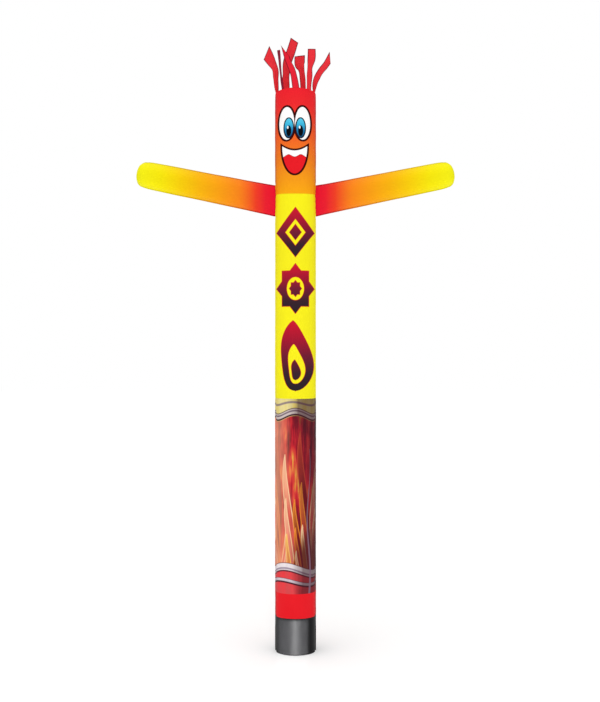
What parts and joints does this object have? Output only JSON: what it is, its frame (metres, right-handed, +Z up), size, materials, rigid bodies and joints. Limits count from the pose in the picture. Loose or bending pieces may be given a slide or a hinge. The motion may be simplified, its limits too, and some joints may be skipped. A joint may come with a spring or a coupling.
{
  "type": "inflatable tube dancer",
  "caption": "Tall inflated cloth tube figure with a smiling face, raised arms and ribbon hair, standing on a black sleeve that fits over a blower.",
  "frame": {"origin": "on the floor in the middle of the base sleeve's lower edge", "axes": "+Z up along the tube, +X towards the arm on the viewer's right, +Y towards the back; the face looks towards -Y"},
  "size_m": [3.5808, 0.457, 6.9521],
  "materials": {
    "head cloth": "light coated nylon with a soft sheen, red above running to orange, printed with a plain smiling face",
    "yellow cloth": "light coated nylon with a soft sheen, printed with a column of dark crimson shapes",
    "lower cloth": "light coated nylon with a soft sheen, printed with a flame pattern above a plain red foot",
    "sleeve cloth": "heavier woven nylon, matt black",
    "left arm cloth": "light coated nylon, red at the root running through orange to yellow at the tip",
    "right arm cloth": "light coated nylon, red at the root running through orange to yellow at the tip",
    "crown cloth": "light coated nylon with a soft sheen, red",
    "hair cloth": "light coated nylon ribbon, red"
  },
  "bodies": {
    "root": {"head_panel": "head cloth", "yellow_panel": "yellow cloth", "lower_panel": "lower cloth", "base_sleeve": "sleeve cloth", "arm_left": "left arm cloth", "arm_right": "right arm cloth", "crown": "crown cloth", "hair": "hair cloth"}
  },
  "joints": []
}
